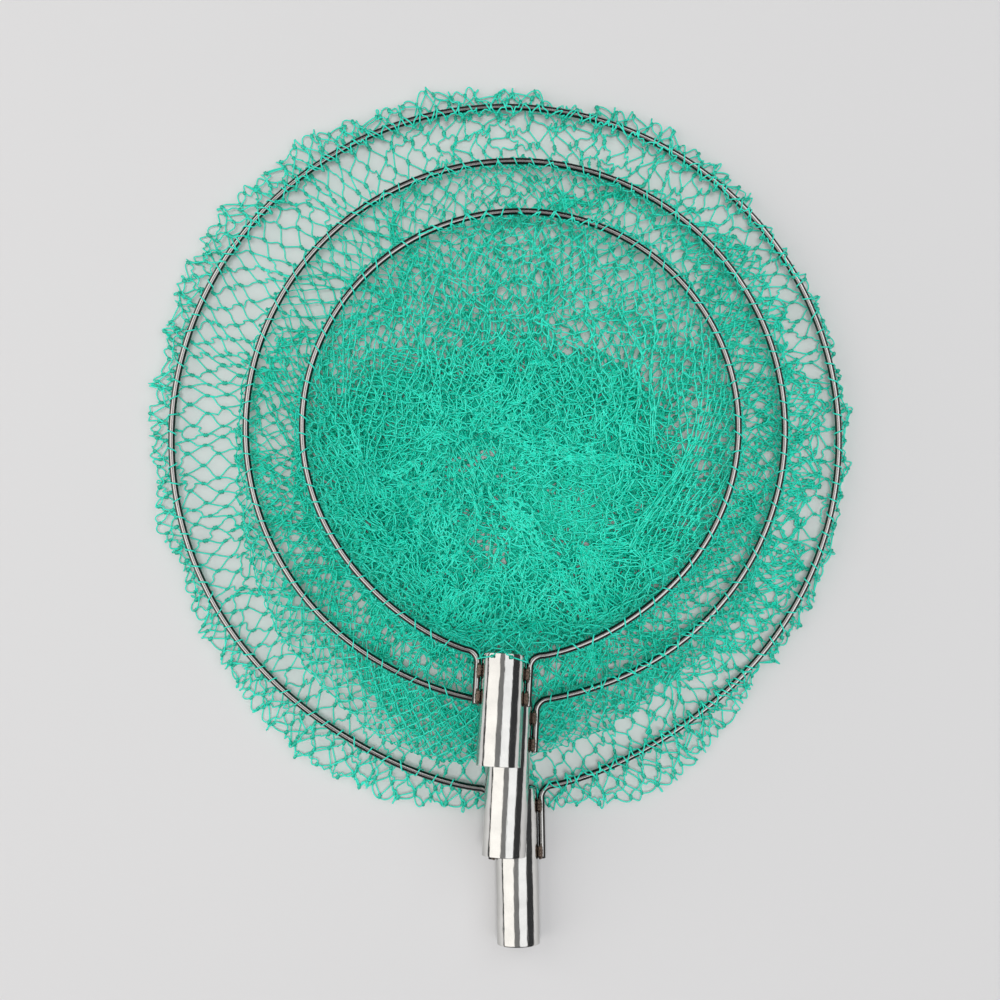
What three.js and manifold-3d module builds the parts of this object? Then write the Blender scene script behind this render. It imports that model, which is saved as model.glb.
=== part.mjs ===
// A nested set of three landing-net heads lying on a table: large below, medium on it, small on top.
// Each head is a round wire hoop welded to a tubular handle socket, with a collapsed netting bag.
// Units are millimetres, +Z is up, and the origin is on the table under the large hoop's centre.
// The sockets point towards -Y.

import * as THREE from 'three';
import { mergeVertices } from 'three/addons/utils/BufferGeometryUtils.js';
import Module from 'manifold-3d';

const wasm = await Module();
wasm.setup();

// ---- driving dimensions, shared by the three heads ----

const WIRE_DIAMETER = 4.0;
const SOCKET_DIAMETER = 25.4;
const SOCKET_WALL = 1.0;
const WELD_GAP = 0.3;            // between the wire, the socket and each weld bead
const STACK_GAP = 0.4;           // between the sockets where one head lies on the next
const NET_GAP = 0.6;             // between netting and any wire, socket or other netting
const SOCKET_INSET = 2.0;        // how far the socket's inner end reaches past the wire's centre line
const BEND_RADIUS = 7.0;         // centre-line radius where the hoop turns down along the socket

const WELD_LENGTH = 9.0;
const WELD_WIDTH = 5.6;
const WELD_HEIGHT = 4.0;
const WELD_RISE = 3.0;           // bead centre above the plane of the hoop
const WELD_SETBACK = 4.5;        // bead centre from the end of the tail, and from the end of the bend

// ---- driving dimensions of each head ----
// Angles are in degrees. A spill is how far the netting lies past the hoop.
// A lobe adds to it round one direction, counted from +X towards +Y.

const large = {
  name: 'large',
  hoopDiameter: 400,             // over the wire
  neck: 9.5,                     // how far the hoop is drawn out towards its socket
  neckSpread: 22,
  socketLength: 93,
  tailLength: 41,
  socketShift: 2.5,              // socket axis to the side of the hoop's centre, towards +X
  turn: 1.05,
  centre: [0, 0],
  bagFloor: 5.0,
  spill: 9,
  lobes: [
    { towards: 292, spread: 20, reach: 24 },
    { towards: 245, spread: 26, reach: 22 },
    { towards: 130, spread: 26, reach: 11 },
    { towards: 62, spread: 14, reach: 9 },
    { towards: 185, spread: 24, reach: 5 },
  ],
};

const medium = {
  name: 'medium',
  hoopDiameter: 320,
  neck: 2.0,
  neckSpread: 15,
  socketLength: 91,
  tailLength: 28.5,
  socketShift: 5.2,
  turn: -2.8,
  centreAside: 6.0,              // hoop centre towards +X of the centre of the hoop below
  socketOverlap: 36.7,           // length of its socket that lies over the socket below
  farHeight: 20,                 // wire centre line above the table, opposite the socket
  bagFloor: 5.0,
  spill: 4,
  lobes: [
    { towards: 222, spread: 30, reach: 30 },
    { towards: 285, spread: 22, reach: 24 },
  ],
};

const small = {
  name: 'small',
  hoopDiameter: 256,
  neck: 8.0,
  neckSpread: 28,
  socketLength: 64,
  tailLength: 27.5,
  socketShift: -2.0,
  turn: -3.2,
  centreAside: 2.8,
  socketOverlap: 36.5,
  farHeight: 32,
  bagFloor: 7.0,
  spill: 4,
  lobes: [
    { towards: 225, spread: 40, reach: 3 },
  ],
};

// ---- netting bag section, the same for the three heads ----

const BAG_SPOKES = 60;
const BAG_RIM_INSIDE = 4.0;      // inner edge of the gathered rim, inside the wire's centre line
const BAG_WALL_INSIDE = 16.0;    // foot of the gathered wall, inside the wire's centre line
const BAG_LIP = 0.45;            // thickness of the spill's edge, as a share of the floor's
const BAG_SHOULDER_REACH = 0.5;  // of the spill, where its top starts to fall away
const BAG_SHOULDER_LEVEL = 0.45; // height there, from 0 on the floor's top to 1 under the wire
const BAG_REST_REACH = 10.0;     // a bag clears the highest thing below it within this distance
const BAG_REST_STEP = 10.0;      // between rings of points on a bag's underside where it is uneven
const SOCKET_PASSAGE = 1.5;      // room left each side of a socket that passes through netting

// ---- resolution ----

const WIRE_SIDES = 8;
const SOCKET_SIDES = 32;
const HOOP_STEP = 4.0;           // degrees of hoop between sections
const BEND_STEPS = 6;
const WELD_SIDES = 12;
const WELD_RINGS = 8;
const REST_SAMPLES = 14;         // directions in which a bag's underside looks for what is below it
const REST_RINGS = 3;            // distances at which it looks in each direction

// ---- colours ----

const steel = () => new THREE.MeshStandardMaterial({ color: 0xc9c9c6, roughness: 0.12, metalness: 1 });
const weldSteel = () => new THREE.MeshStandardMaterial({ color: 0xb9b4ab, roughness: 0.3, metalness: 1 });
const netting = () => new THREE.MeshStandardMaterial({ color: 0x2cae94, roughness: 0.65, metalness: 0 });

const wireRadius = WIRE_DIAMETER / 2;
const socketRadius = SOCKET_DIAMETER / 2;
const tailOffset = socketRadius + WELD_GAP + wireRadius;
const rad = THREE.MathUtils.degToRad;

// ---- shape of one hoop, in its own plane ----

function hoopRadius(head) {
  return head.hoopDiameter / 2 - wireRadius;
}

// Centre-line radius at an angle (radians) counted from the socket side, -Y, towards +X.
function outlineRadius(head, angle) {
  const off = Math.atan2(Math.sin(angle), Math.cos(angle)) / rad(head.neckSpread);
  return hoopRadius(head) + head.neck * Math.exp(-off * off);
}

function onHoop(head, angle) {
  const radius = outlineRadius(head, angle);
  return new THREE.Vector2(radius * Math.sin(angle), -radius * Math.cos(angle));
}

// Where the hoop meets the bend down one side of the socket: side is 1 towards +X, -1 towards -X.
function bendAt(head, side) {
  const tail = head.socketShift * side + tailOffset;
  const across = tail + BEND_RADIUS;
  const reach = outlineRadius(head, Math.asin(across / hoopRadius(head))) + BEND_RADIUS;
  const centreY = -Math.sqrt(reach * reach - across * across);
  return { tail, across, centreY, angle: Math.asin(across / reach) };
}

// Height, in the hoop's plane, of the wire's centre line where it would cross the socket's axis.
function crossingY(head) {
  return onHoop(head, 0).y;
}

function socketInnerY(head) {
  return crossingY(head) + SOCKET_INSET;
}

function tailEndY(head) {
  return crossingY(head) - head.tailLength;
}

// One side of the wire, from the tail's end up to where the bend meets the hoop.
function tailPoints(head, side) {
  const bend = bendAt(head, side);
  const points = [new THREE.Vector2(bend.tail, tailEndY(head))];
  for (let i = 0; i <= BEND_STEPS; i += 1) {
    const angle = THREE.MathUtils.lerp(Math.PI, Math.PI / 2 + bend.angle, i / BEND_STEPS);
    const x = bend.across + BEND_RADIUS * Math.cos(angle);
    const y = bend.centreY + BEND_RADIUS * Math.sin(angle);
    points.push(new THREE.Vector2(x, y));
  }
  return points.map((point) => new THREE.Vector2(point.x * side, point.y));
}

function wirePoints(head) {
  const right = tailPoints(head, 1);
  const left = tailPoints(head, -1).reverse();
  const start = bendAt(head, 1).angle;
  const end = 2 * Math.PI - bendAt(head, -1).angle;
  const steps = Math.round((end - start) / rad(HOOP_STEP));
  const hoop = [];
  for (let i = 1; i < steps; i += 1) {
    hoop.push(onHoop(head, THREE.MathUtils.lerp(start, end, i / steps)));
  }
  return [...right, ...hoop, ...left].map((point) => new THREE.Vector3(point.x, point.y, 0));
}

// A path through given points that puts one section of an extrusion at each of them.
class PointPath extends THREE.Curve {
  constructor(points) {
    super();
    this.points = points;
  }

  getPoint(t, target = new THREE.Vector3()) {
    const place = t * (this.points.length - 1);
    const index = Math.min(Math.floor(place), this.points.length - 2);
    return target.lerpVectors(this.points[index], this.points[index + 1], place - index);
  }

  getPointAt(u, target) {
    return this.getPoint(u, target);
  }

  getTangentAt(u, target = new THREE.Vector3()) {
    const half = 0.5 / (this.points.length - 1);
    const before = this.getPoint(Math.max(u - half, 0));
    const after = this.getPoint(Math.min(u + half, 1));
    return target.subVectors(after, before).normalize();
  }
}

function roundShape(radius, sides) {
  const corners = [];
  for (let i = 0; i < sides; i += 1) {
    const angle = (2 * Math.PI * i) / sides;
    corners.push(new THREE.Vector2(radius * Math.cos(angle), radius * Math.sin(angle)));
  }
  return new THREE.Shape(corners);
}

function hoopGeometry(head) {
  const points = wirePoints(head);
  return new THREE.ExtrudeGeometry(roundShape(wireRadius, WIRE_SIDES), {
    steps: points.length - 1,
    extrudePath: new PointPath(points),
  });
}

// ---- socket: a plain tube open at both ends ----

function socketGeometry(head) {
  const bore = socketRadius - SOCKET_WALL;
  const section = [
    new THREE.Vector2(bore, 0),
    new THREE.Vector2(socketRadius, 0),
    new THREE.Vector2(socketRadius, head.socketLength),
    new THREE.Vector2(bore, head.socketLength),
    new THREE.Vector2(bore, 0),
  ];
  const tube = new THREE.LatheGeometry(section, SOCKET_SIDES);
  tube.translate(head.socketShift, socketInnerY(head) - head.socketLength, 0);
  return tube;
}

// ---- joins and cuts ----

function toSolid(geometry) {
  const bare = geometry.clone();
  bare.deleteAttribute('normal');
  bare.deleteAttribute('uv');
  const merged = mergeVertices(bare);
  const index = merged.index.array;
  const triangles = [];
  for (let i = 0; i < index.length; i += 3) {
    const [a, b, c] = [index[i], index[i + 1], index[i + 2]];
    if (a !== b && b !== c && c !== a) {
      triangles.push(a, b, c);
    }
  }
  return new wasm.Manifold(new wasm.Mesh({
    numProp: 3,
    vertProperties: new Float32Array(merged.attributes.position.array),
    triVerts: new Uint32Array(triangles),
  }));
}

function toGeometry(solid) {
  const mesh = solid.getMesh();
  const geometry = new THREE.BufferGeometry();
  geometry.setAttribute('position', new THREE.BufferAttribute(mesh.vertProperties, 3));
  geometry.setIndex(new THREE.BufferAttribute(mesh.triVerts, 1));
  geometry.computeVertexNormals();
  return geometry;
}

// ---- weld beads: on top of the groove between each tail and the socket ----

function weldGeometry(head, side, y) {
  const bead = new THREE.SphereGeometry(0.5, WELD_SIDES, WELD_RINGS);
  bead.scale(WELD_WIDTH, WELD_LENGTH, WELD_HEIGHT);
  bead.translate(head.socketShift + side * (socketRadius + WELD_GAP / 2), y, WELD_RISE);

  const clearSocket = new THREE.CylinderGeometry(
    socketRadius + WELD_GAP, socketRadius + WELD_GAP, 2 * WELD_LENGTH, SOCKET_SIDES);
  clearSocket.translate(head.socketShift, y, 0);

  const clearTail = new THREE.CylinderGeometry(
    wireRadius + WELD_GAP, wireRadius + WELD_GAP, 2 * WELD_LENGTH, 2 * WIRE_SIDES);
  clearTail.translate(head.socketShift + side * tailOffset, y, 0);

  return toGeometry(toSolid(bead).subtract(toSolid(clearSocket)).subtract(toSolid(clearTail)));
}

// ---- how the heads lie on each other ----

// Table place of a point of the head's flat outline, before it is tilted.
function flatPlace(head, point) {
  const turned = point.clone().rotateAround(new THREE.Vector2(), rad(head.turn));
  return turned.add(new THREE.Vector2(...head.centre));
}

function inHead(head, place) {
  const from = place.clone().sub(new THREE.Vector2(...head.centre));
  return from.rotateAround(new THREE.Vector2(), -rad(head.turn));
}

// Height of the wire's centre line plane over a place on the table.
function planeHeight(head, x, y) {
  const local = inHead(head, new THREE.Vector2(x, y));
  return head.height - local.y * head.slope;
}

function layOnTable(head) {
  head.slope = 0;
  head.height = socketRadius;
}

// The upper socket lies across the lower one's inner end, which sets how far back the upper head
// lies. Its hoop's far side is propped at its own height, which gives the upper head its tilt.
function layOn(upper, lower) {
  upper.below = lower;
  const contact = flatPlace(lower, new THREE.Vector2(lower.socketShift, socketInnerY(lower)));
  upper.centre = [lower.centre[0] + upper.centreAside, 0];
  const outerEnd = new THREE.Vector2(upper.socketShift, socketInnerY(upper) - upper.socketLength);
  upper.centre[1] = contact.y - upper.socketOverlap - flatPlace(upper, outerEnd).y;
  const station = inHead(upper, contact);
  const aside = station.x - upper.socketShift;
  const centres = SOCKET_DIAMETER + STACK_GAP;
  const rise = Math.sqrt(centres * centres - aside * aside);
  const contactHeight = planeHeight(lower, contact.x, contact.y) + rise;
  const far = hoopRadius(upper);
  upper.slope = (contactHeight - upper.farHeight) / (far - station.y);
  upper.height = upper.farHeight + upper.slope * far;
}

// ---- netting bags: a low dish under each hoop, with the netting that spills past it ----

function spillAt(head, angle) {
  let spill = head.spill;
  for (const lobe of head.lobes) {
    const off = angle - rad(lobe.towards);
    const away = Math.atan2(Math.sin(off), Math.cos(off)) / rad(lobe.spread);
    spill += lobe.reach * Math.exp(-away * away);
  }
  return spill;
}

// Top of the gathered rim, under the wire, over a place on the table.
function rimHeight(head, x, y) {
  return planeHeight(head, x, y) - wireRadius - NET_GAP;
}

// Top of a bag over a place on the table.
function bagTop(head, x, y) {
  const dx = x - head.centre[0];
  const dy = y - head.centre[1];
  const inside = hoopRadius(head) - Math.hypot(dx, dy);
  const climb = THREE.MathUtils.clamp(
    (BAG_WALL_INSIDE - inside) / (BAG_WALL_INSIDE - BAG_RIM_INSIDE), 0, 1);
  const floor = bagBase(head, x, y) + head.bagFloor;
  return THREE.MathUtils.lerp(floor, rimHeight(head, x, y), climb);
}

// Top of a head's hoop, or of its bag beside the hoop, over a place on the table.
function headTop(head, x, y) {
  const local = inHead(head, new THREE.Vector2(x, y));
  const line = outlineRadius(head, Math.atan2(local.x, -local.y));
  const overWire = Math.abs(local.length() - line) < wireRadius + NET_GAP;
  return overWire ? planeHeight(head, x, y) + wireRadius : bagTop(head, x, y);
}

// Underside of a bag: on the table, or on the highest point of the head below it nearby.
function bagBase(head, x, y) {
  if (!head.below) {
    return 0;
  }
  let highest = headTop(head.below, x, y);
  for (let i = 0; i < REST_RINGS * REST_SAMPLES; i += 1) {
    const angle = (2 * Math.PI * i) / REST_SAMPLES;
    const away = (BAG_REST_REACH * (1 + Math.floor(i / REST_SAMPLES))) / REST_RINGS;
    const nearX = x + away * Math.cos(angle);
    const nearY = y + away * Math.sin(angle);
    highest = Math.max(highest, headTop(head.below, nearX, nearY));
  }
  return highest + NET_GAP;
}

// Section from the bottom centre out to the spill's edge and back over the rim to the top centre.
// Its height is -1 at the bag's base, 0 on the floor's top and 1 under the wire.
// Past the hoop line, one unit of radius stands for the whole spill.
function bagSection(head) {
  const line = hoopRadius(head);
  const wall = line - BAG_WALL_INSIDE;
  const rim = line - BAG_RIM_INSIDE;
  const step = head.below ? BAG_REST_STEP : wall / 2;
  const underside = [new THREE.Vector2(0, -1)];
  for (let radius = wall / 2; radius < line; radius += step) {
    underside.push(new THREE.Vector2(radius, -1));
  }
  return [
    ...underside,
    new THREE.Vector2(line + 1, -1),
    new THREE.Vector2(line + 1, BAG_LIP - 1),
    new THREE.Vector2(line + BAG_SHOULDER_REACH, BAG_SHOULDER_LEVEL),
    new THREE.Vector2(line, 1),
    new THREE.Vector2(rim, 1),
    new THREE.Vector2(wall, 0),
    new THREE.Vector2(wall / 2, 0),
    new THREE.Vector2(0, 0),
  ];
}

function bagGeometry(head) {
  const dish = new THREE.LatheGeometry(bagSection(head), BAG_SPOKES);
  dish.rotateX(Math.PI / 2);
  const line = hoopRadius(head);
  const points = dish.attributes.position;
  for (let i = 0; i < points.count; i += 1) {
    const angle = Math.atan2(points.getY(i), points.getX(i));
    const level = points.getZ(i);
    let radius = Math.hypot(points.getX(i), points.getY(i));
    if (radius > line) {
      radius = line + (radius - line) * spillAt(head, angle);
    }
    const x = head.centre[0] + radius * Math.cos(angle);
    const y = head.centre[1] + radius * Math.sin(angle);
    const base = bagBase(head, x, y);
    const z = level < 0
      ? base + (1 + level) * head.bagFloor
      : THREE.MathUtils.lerp(base + head.bagFloor, rimHeight(head, x, y), level);
    points.setXYZ(i, x, y, z);
  }
  return toGeometry(toSolid(dish).subtract(socketPassage(head)));
}

// The space that the lowest socket takes through the netting round it.
function socketPassage(head) {
  const width = 2 * (socketRadius + SOCKET_PASSAGE);
  const box = new THREE.BoxGeometry(width, head.socketLength + 2 * SOCKET_PASSAGE, 4 * socketRadius);
  box.translate(head.socketShift, socketInnerY(head) - head.socketLength / 2 + SOCKET_PASSAGE, 0);
  box.applyMatrix4(frameMatrix(head));
  return toSolid(box);
}

// ---- assembly ----

function frameMatrix(head) {
  const tilt = new THREE.Euler(-Math.atan(head.slope), 0, rad(head.turn), 'ZXY');
  return new THREE.Matrix4()
    .makeRotationFromEuler(tilt)
    .setPosition(head.centre[0], head.centre[1], head.height);
}

function named(name, geometry, material) {
  const mesh = new THREE.Mesh(geometry, material);
  mesh.name = name;
  return mesh;
}

function frameGroup(head) {
  const frame = new THREE.Group();
  frame.add(named(`${head.name}_hoop`, hoopGeometry(head), steel()));
  frame.add(named(`${head.name}_socket`, socketGeometry(head), steel()));
  for (const [place, side] of [['right', 1], ['left', -1]]) {
    const topY = bendAt(head, side).centreY - WELD_SETBACK;
    const endY = tailEndY(head) + WELD_SETBACK;
    frame.add(named(`${head.name}_weld_${place}_top`, weldGeometry(head, side, topY), weldSteel()));
    frame.add(named(`${head.name}_weld_${place}_end`, weldGeometry(head, side, endY), weldSteel()));
  }
  frame.applyMatrix4(frameMatrix(head));
  return frame;
}

function headGroup(head) {
  const group = new THREE.Group();
  group.add(frameGroup(head));
  group.add(named(`${head.name}_bag`, bagGeometry(head), netting()));
  return group;
}

layOnTable(large);
layOn(medium, large);
layOn(small, medium);

const netSet = new THREE.Group();
for (const head of [large, medium, small]) {
  netSet.add(headGroup(head));
}

export default netSet;
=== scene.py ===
"""Looks of three stacked landing net heads: bright steel hoops and sockets, weld beads and knotted netting.

Lengths are in millimetres in the CAD model's frame until a mesh is made. The steel repeats the CAD's values.
"""
import math

import bpy
import numpy as np
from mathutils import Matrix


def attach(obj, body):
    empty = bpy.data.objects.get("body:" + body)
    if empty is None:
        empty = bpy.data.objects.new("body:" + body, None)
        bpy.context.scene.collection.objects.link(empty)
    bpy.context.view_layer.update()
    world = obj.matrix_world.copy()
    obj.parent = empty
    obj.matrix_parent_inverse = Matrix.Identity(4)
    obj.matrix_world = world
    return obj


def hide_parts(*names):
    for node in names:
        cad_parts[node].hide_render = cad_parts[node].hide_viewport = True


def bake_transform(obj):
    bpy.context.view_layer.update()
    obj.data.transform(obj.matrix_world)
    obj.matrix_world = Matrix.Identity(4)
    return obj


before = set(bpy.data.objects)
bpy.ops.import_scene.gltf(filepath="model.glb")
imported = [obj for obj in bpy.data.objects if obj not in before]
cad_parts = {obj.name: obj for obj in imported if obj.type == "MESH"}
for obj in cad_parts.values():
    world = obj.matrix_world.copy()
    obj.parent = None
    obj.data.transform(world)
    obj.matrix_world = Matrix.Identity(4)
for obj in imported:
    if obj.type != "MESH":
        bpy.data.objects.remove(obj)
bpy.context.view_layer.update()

MM = 0.001

# ---- values shared by the three heads, as in the CAD ----

WIRE_RADIUS = 2.0
SOCKET_RADIUS = 12.7
SOCKET_WALL = 1.0
WELD_GAP = 0.3
STACK_GAP = 0.4
SOCKET_INSET = 2.0
BEND_RADIUS = 7.0
TAIL_OFFSET = SOCKET_RADIUS + WELD_GAP + WIRE_RADIUS

# ---- the heads, from the table up ----
# A head has the CAD's own sizes, then those of its netting: meshes round, rows down, the length of the bar
# between two knots, the twine's thickness, the knots' length, their jitter and a seed.
# Over is a list of (towards, half width) in degrees, where the netting crosses over the wire.
# A ring of a bag's path has a centre, a radius, lobes of (towards, spread, reach) in degrees and millimetres,
# a wander, its slowest and quickest waves, a height over the table and a climb, the share of the way up to
# the wire. A flat ring is pressed to a share of its width in one direction, in degrees.
# The netting runs from the wire through the rings in turn to the bottom of the bag.

HEADS = [
    {
        "name": "large",
        "hoop": 400.0, "neck": 9.5, "neck_spread": 22.0, "socket": 93.0,
        "tail": 41.0, "shift": 2.5, "turn": 1.05,
        "meshes": 122, "rows": 46, "bar": 12.0, "twine": 0.9, "knot": 4.0, "jitter": 2.4, "seed": 11,
        "over": [(88.0, 60.0), (296.0, 22.0)],
        "rings": [
            {"centre": (0, 0), "radius": 206.0, "wander": 1.5, "height": 3.6,
             "lobes": [(292, 20, 24), (245, 26, 24), (130, 26, 10), (62, 14, 8), (172, 50, 8), (0, 45, -3)]},
            {"centre": (0, 0), "radius": 152.0, "wander": 6.0, "height": 3.2,
             "lobes": [(130, 26, -55), (222, 24, -50), (0, 40, -6)]},
            {"centre": (0, 0), "radius": 184.0, "wander": 5.0, "height": 2.9,
             "lobes": [(180, 30, -22), (130, 26, -60), (222, 24, -50), (90, 30, -44), (355, 40, 9),
                       (262, 24, 10)]},
            {"centre": (-5, -45), "radius": 74.0, "flat": (0.4, 75), "wander": 13.0, "waves": (2, 7),
             "height": 2.6},
            {"centre": (-8, -30), "radius": 108.0, "wander": 9.0, "waves": (2, 6), "height": 2.2,
             "lobes": [(90, 50, -24)]},
            {"centre": (-12, -20), "radius": 62.0, "flat": (0.7, 130), "wander": 12.0, "waves": (2, 6),
             "height": 1.9},
            {"centre": (24, 6), "radius": 9.0, "wander": 2.0, "waves": (2, 6), "height": 1.8},
        ],
    },
    {
        "name": "medium",
        "hoop": 320.0, "neck": 2.0, "neck_spread": 15.0, "socket": 91.0,
        "tail": 28.5, "shift": 5.2, "turn": -2.8,
        "aside": 6.0, "overlap": 36.7, "far_height": 20.0,
        "meshes": 98, "rows": 58, "bar": 9.0, "twine": 0.77, "knot": 3.0, "jitter": 1.9, "seed": 23,
        "over": [(78.0, 48.0), (300.0, 16.0)],
        "rings": [
            {"centre": (6, 6.8), "radius": 160.0, "wander": 1.5, "height": 8.5, "climb": 0.15,
             "lobes": [(225, 34, 33), (262, 26, 40), (302, 26, 18)]},
            {"centre": (6, 6.8), "radius": 114.0, "wander": 6.0, "height": 8.5,
             "lobes": [(88, 50, -66), (256, 36, 34)]},
            {"centre": (6, 6.8), "radius": 149.0, "wander": 5.0, "height": 7.9,
             "lobes": [(88, 50, -104), (256, 40, 58), (182, 30, -10), (0, 30, -4)]},
            {"centre": (2, -58), "radius": 66.0, "flat": (0.35, 98), "wander": 10.0, "waves": (2, 7),
             "height": 7.4, "lobes": [(256, 36, 100)]},
            {"centre": (0, -34), "radius": 104.0, "wander": 8.0, "waves": (2, 6), "height": 6.8,
             "lobes": [(90, 50, -22), (258, 34, 60)]},
            {"centre": (-6, -16), "radius": 58.0, "flat": (0.4, 40), "wander": 11.0, "waves": (2, 6),
             "height": 6.2},
            {"centre": (-6, -44), "radius": 72.0, "flat": (0.7, 130), "wander": 12.0, "waves": (2, 6),
             "height": 5.8},
            {"centre": (34, -58), "radius": 8.0, "wander": 2.0, "waves": (2, 6), "height": 5.4},
        ],
    },
    {
        "name": "small",
        "hoop": 256.0, "neck": 8.0, "neck_spread": 28.0, "socket": 64.0,
        "tail": 27.5, "shift": -2.0, "turn": -3.2,
        "aside": 2.8, "overlap": 36.5, "far_height": 32.0,
        "meshes": 78, "rows": 50, "bar": 9.25, "twine": 0.86, "knot": 3.2, "jitter": 2.2, "seed": 37,
        "over": [(92.0, 24.0)],
        "rings": [
            {"centre": (8.8, 7.9), "radius": 129.0, "wander": 1.0, "height": 15.5, "climb": 0.6,
             "lobes": [(225, 40, 2), (266, 12, -18)]},
            {"centre": (8, -46), "radius": 80.0, "flat": (0.78, 84), "wander": 8.0, "height": 15.5},
            {"centre": (2, -34), "radius": 92.0, "wander": 4.0, "height": 14.6,
             "lobes": [(145, 34, 30), (0, 40, 26), (205, 30, 14)]},
            {"centre": (-2, -26), "radius": 74.0, "flat": (0.75, 112), "wander": 10.0, "waves": (2, 6),
             "height": 13.6},
            {"centre": (-4, -44), "radius": 84.0, "flat": (0.85, 90), "wander": 9.0, "waves": (2, 6),
             "height": 12.6},
            {"centre": (-20, -14), "radius": 22.0, "wander": 4.0, "waves": (2, 6), "height": 11.4},
        ],
    },
]

RING_SEEDS = 10     # from one ring's seed to the next
TWINE_SEED = 5      # from a head's seed to its twine's

# ---- resolution ----

TWINE_SIDES = 5
TWINE_STEPS = 7
LOOP_STEPS = 20
WRAP_STEPS = 12
SPLINE_STEPS = 4
KNOT_ROUND = 6
KNOT_ALONG = 5
WIRE_SIDES = 20
BEND_STEPS = 14
HOOP_STEPS = 360
TUBE_SIDES = 96
TUBE_STEPS = 24
WELD_SIDES = 16
WELD_STEPS = 26
SECTORS = 16
TINY = 1e-9

# ---- the steel's finish ----

CAP_STATIONS = [0.35, 0.68, 0.92]   # shares of the way to a bar's rounded end
CAP_REACH = 0.3                     # of the bar's radius
SOCKET_EASE = 0.25
EASE_MIDDLE = 0.08
TUBE_MARGIN = 1.2
SHARP_ANGLE = 35.0
WELD_END = 0.03
WELD_RIPPLES = 5
WELD_RIPPLE_DEPTH = 0.16
WELD_RIPPLE_POWER = 0.7
WELD_SWAY = 0.35

# ---- how the netting lies ----
# Unevenness grows from a share, RIPPLE_START, over the first rows from the wire.
# A spill's row takes up FOLD_SHARE of a bar's length.

WANDER_WAVES = (3, 11)
WANDER_FADE = 0.6
RIPPLE_ROWS = 9.0
RIPPLE_START = 0.3
RIPPLE_SIZE = 1.3
RIPPLE_COUNT = 14
RIPPLE_WAVES = (6, 26)
RIPPLE_DRIFT = 1.3
FOLD_SHARE = 0.8
FOLD_EARLY = 0.2
SETTLE_TURNS = 160
SETTLE_LENGTH = 0.985
SETTLE_PUSH = 0.25
NARROWEST_MESH = 0.34
GATHERED_ROWS = 5
SIDE_CHANGE = 12.0      # degrees over which the mouth goes from outside the wire to inside
MOUTH_ASIDE = 4.2
MOUTH_DROP = -2.6
CROSSING_LIFT = 3.2
COLLAR_SIDE = 2.0       # the small head's netting goes over its socket
COLLAR_LIFT = 1.2
COLLAR_INSET = 2.0
SOCKET_ROOM = 2.5       # between the lowest socket and the netting beside it
SOCKET_ROOM_END = 3.0

# ---- twine and knots ----

TOUCH_GAP = 0.05
KNOT_REACH = 0.46       # from a knot's middle to the steel it lies on, of its length
KNOT_END = 0.12
KNOT_GIRTH = 0.33
KNOT_TAPER = 0.6
KNOT_FLATNESS = 0.85
KNOT_LUMPS = 3
KNOT_LUMP_HEIGHT = 0.2
KNOT_TWIST = 0.5
KNOT_SIZES = (0.85, 1.15)
CHORD_SHARE = 0.36      # of the way that twine leaves a knot, straight towards the next one
STRAY = 0.22
BAR_LENGTHS = (0.96, 1.03)
BAR_SLACK = 1.01
BOW_SIZES = (0.3, 4.0)
BOW_TRIES = 14
BOW_STEPS = 12
AXIS_NUDGE = 1e-4       # keeps a direction from being nought
NORMAL_NUDGE = 1e-3
LOOPS_AHEAD = 0.75
LOOP_SLANTS = (1.0, 3.2)
LOOP_START = -35.0
LOOP_TURN = 250.0
LOOP_SIDE = (0.2, 0.3)

# ---- the heads' places, as the CAD works them out ----

def hoop_radius(head):
    return head["hoop"] / 2 - WIRE_RADIUS


def outline(head, angle):
    """Centre-line radius at an angle counted from the socket side, -Y, towards +X."""
    off = np.arctan2(np.sin(angle), np.cos(angle)) / math.radians(head["neck_spread"])
    return hoop_radius(head) + head["neck"] * np.exp(-off * off)


def crossing_y(head):
    return -(hoop_radius(head) + head["neck"])


def socket_inner_y(head):
    return crossing_y(head) + SOCKET_INSET


def flat_place(head, x, y):
    turn = math.radians(head["turn"])
    cx, cy = head["centre"]
    return (
        cx + x * math.cos(turn) - y * math.sin(turn),
        cy + x * math.sin(turn) + y * math.cos(turn),
    )


def in_head(head, x, y):
    """Flat coordinates in a head's own outline of places on the table."""
    turn = -math.radians(head["turn"])
    dx, dy = x - head["centre"][0], y - head["centre"][1]
    return dx * math.cos(turn) - dy * math.sin(turn), dx * math.sin(turn) + dy * math.cos(turn)


def plane_height(head, x, y):
    return head["height"] - in_head(head, x, y)[1] * head["slope"]


def place_heads():
    below = None
    for head in HEADS:
        if below is None:
            head["centre"], head["slope"], head["height"] = (0.0, 0.0), 0.0, SOCKET_RADIUS
        else:
            lay_on(head, below)
        below = head


def lay_on(upper, lower):
    contact = flat_place(lower, lower["shift"], socket_inner_y(lower))
    aside = lower["centre"][0] + upper["aside"]
    upper["centre"] = (aside, 0.0)
    outer_y = flat_place(upper, upper["shift"], socket_inner_y(upper) - upper["socket"])[1]
    upper["centre"] = (aside, contact[1] - upper["overlap"] - outer_y)
    station = in_head(upper, *contact)
    centres = 2 * SOCKET_RADIUS + STACK_GAP
    rise = math.sqrt(centres ** 2 - (station[0] - upper["shift"]) ** 2)
    far = hoop_radius(upper)
    top = plane_height(lower, *contact) + rise
    upper["slope"] = (top - upper["far_height"]) / (far - station[1])
    upper["height"] = upper["far_height"] + upper["slope"] * far


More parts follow.
